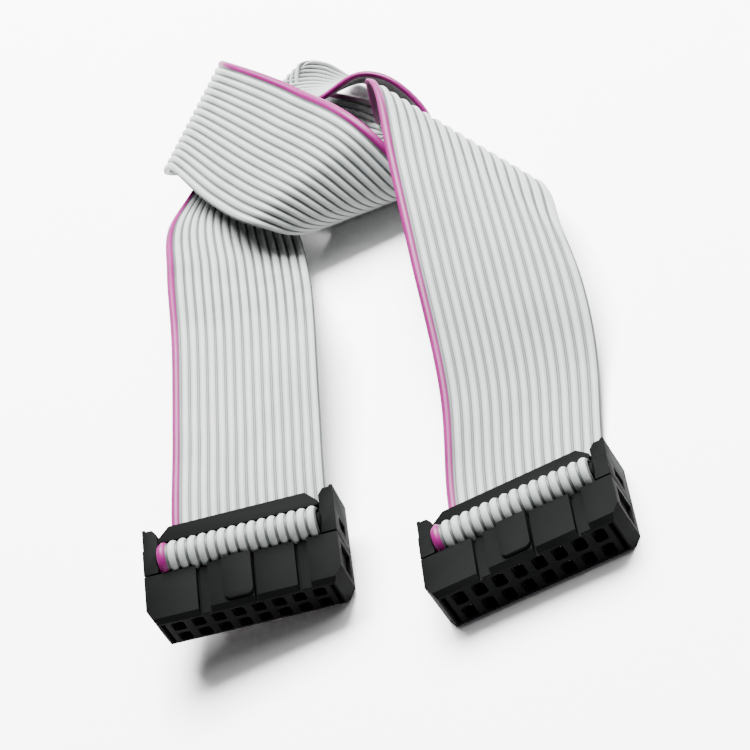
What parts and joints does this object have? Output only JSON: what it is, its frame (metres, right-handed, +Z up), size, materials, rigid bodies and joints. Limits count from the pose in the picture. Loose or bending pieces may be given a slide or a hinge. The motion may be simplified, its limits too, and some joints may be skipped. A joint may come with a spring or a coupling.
{
  "type": "ribbon cable",
  "caption": "Flat grey ribbon cable, loosely knotted, with a black two-row pin socket and strain relief at each end.",
  "frame": {"origin": "centre of the bounding box, at the table", "axes": "+Z up from the table, +Y from the sockets towards the knot, +X along the right socket's rows"},
  "size_m": [0.062, 0.1301, 0.0166],
  "materials": {
    "black_plastic": "moulded, slightly textured",
    "contact_metal": "stamped and gilded",
    "grey_pvc": "extruded with ribs, first rib pink"
  },
  "bodies": {
    "root": {"left_housing": "black_plastic", "left_cover": "black_plastic", "left_strain_relief": "black_plastic", "left_contact_1": "contact_metal", "left_contact_2": "contact_metal", "left_contact_3": "contact_metal", "left_contact_4": "contact_metal", "left_contact_5": "contact_metal", "left_contact_6": "contact_metal", "left_contact_7": "contact_metal", "left_contact_8": "contact_metal", "left_contact_9": "contact_metal", "left_contact_10": "contact_metal", "left_contact_11": "contact_metal", "left_contact_12": "contact_metal", "left_contact_13": "contact_metal", "left_contact_14": "contact_metal", "left_contact_15": "contact_metal", "left_contact_16": "contact_metal", "right_housing": "black_plastic", "right_cover": "black_plastic", "right_strain_relief": "black_plastic", "right_contact_1": "contact_metal", "right_contact_2": "contact_metal", "right_contact_3": "contact_metal", "right_contact_4": "contact_metal", "right_contact_5": "contact_metal", "right_contact_6": "contact_metal", "right_contact_7": "contact_metal", "right_contact_8": "contact_metal", "right_contact_9": "contact_metal", "right_contact_10": "contact_metal", "right_contact_11": "contact_metal", "right_contact_12": "contact_metal", "right_contact_13": "contact_metal", "right_contact_14": "contact_metal", "right_contact_15": "contact_metal", "right_contact_16": "contact_metal", "ribbon": "grey_pvc"}
  },
  "joints": []
}
